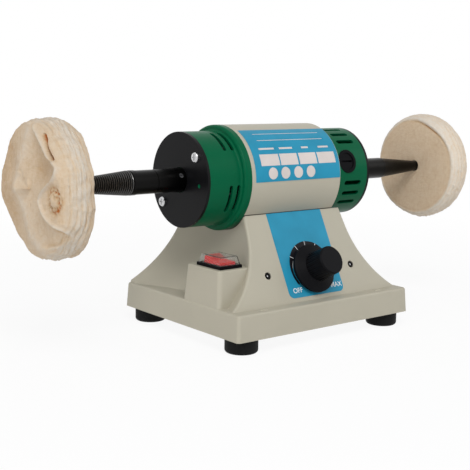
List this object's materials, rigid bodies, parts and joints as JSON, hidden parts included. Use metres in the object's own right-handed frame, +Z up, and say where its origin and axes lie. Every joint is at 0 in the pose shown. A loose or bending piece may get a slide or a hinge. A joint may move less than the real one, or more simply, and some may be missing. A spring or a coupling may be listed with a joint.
{
  "type": "dental polishing lathe",
  "caption": "Bench polishing lathe with a cotton wheel on a taper spindle at each end of a horizontal motor, on a sloped cast pedestal with a speed knob and a covered rocker switch.",
  "frame": {"origin": "on the bench, straight below the middle of the motor", "axes": "+X along the spindle, towards the smooth taper; the control panel faces -Y; +Z up"},
  "size_m": [0.4351, 0.1677, 0.1807],
  "materials": {
    "cream_paint": "satin enamel",
    "green_paint": "gloss enamel",
    "black_paint": "gloss enamel",
    "black_steel": "blackened, turned",
    "bright_steel": "bright",
    "zinc_sheet": "zinc plated",
    "aluminium": "mill",
    "core_steel": "stacked sheet",
    "copper_wire": "varnished copper",
    "copper_bar": "turned copper",
    "brass": "bright",
    "carbon": "matt graphite",
    "foot_rubber": "matt",
    "black_plastic": "satin",
    "red_plastic": "gloss",
    "clear_cover": "clear, soft",
    "blue_label": "printed film",
    "board_green": "lacquered",
    "cotton": "unbleached cotton"
  },
  "bodies": {
    "stand": {"pedestal": "cream_paint", "bottom_plate": "zinc_sheet", "foot_front_left": "foot_rubber", "foot_front_right": "foot_rubber", "foot_rear_left": "foot_rubber", "foot_rear_right": "foot_rubber", "foot_screws": "bright_steel", "cord_grommet": "foot_rubber", "motor_tube": "cream_paint", "motor_label": "blue_label", "cap_left": "green_paint", "cap_right": "green_paint", "plate_left": "black_paint", "plate_right": "black_paint", "plate_screws_left": "black_steel", "plate_screws_right": "black_steel", "motor_screws": "bright_steel", "bearing_left_outer": "bright_steel", "bearing_right_outer": "bright_steel", "stator_core": "core_steel", "field_coils": "copper_wire", "brush_front_holder": "black_plastic", "brush_front_cap": "black_plastic", "brush_front": "carbon", "brush_front_spring": "bright_steel", "brush_rear_holder": "black_plastic", "brush_rear_cap": "black_plastic", "brush_rear": "carbon", "brush_rear_spring": "bright_steel", "switch_frame": "black_plastic", "switch_cover": "clear_cover", "switch_terminals": "brass", "panel_label": "blue_label", "potentiometer": "black_plastic", "potentiometer_nut": "brass", "control_bracket": "zinc_sheet", "control_board": "board_green", "board_parts": "aluminium", "panel_screws": "black_steel"},
    "rotor": {"armature_shaft": "bright_steel", "armature_core": "core_steel", "armature_windings": "copper_wire", "commutator": "copper_bar", "cooling_fan": "aluminium", "bearing_left_inner": "bright_steel", "bearing_right_inner": "bright_steel", "spindle_left": "black_steel", "spindle_right": "black_steel", "wheel_left": "cotton", "wheel_right": "cotton", "spindle_screws": "black_steel"},
    "ball_cages": {"bearing_left_balls": "bright_steel", "bearing_right_balls": "bright_steel"},
    "knob": {"speed_knob": "black_plastic", "potentiometer_shaft": "aluminium"},
    "rocker": {"switch_rocker": "red_plastic"}
  },
  "joints": [
    {"name": "rotor_spin", "type": "hinge", "parent": "stand", "child": "rotor", "pos_m": [0, 0, 0.13], "axis": [1, 0, 0], "continuous": true},
    {"name": "ball_cage_spin", "type": "hinge", "parent": "stand", "child": "ball_cages", "pos_m": [0, 0, 0.13], "axis": [1, 0, 0], "continuous": true},
    {"name": "knob_turn", "type": "hinge", "parent": "stand", "child": "knob", "pos_m": [0.005, -0.05636, 0.05524], "axis": [0, -0.8934, 0.4493], "range_deg": [-280, 0]},
    {"name": "rocker_tilt", "type": "hinge", "parent": "stand", "child": "rocker", "pos_m": [-0.071, -0.0305, 0.0615], "axis": [1, 0, 0], "range_deg": [-18, 0]}
  ],
  "couplings": [
    {"joint": "ball_cage_spin", "follows": "rotor_spin", "ratio": 0.404}
  ]
}
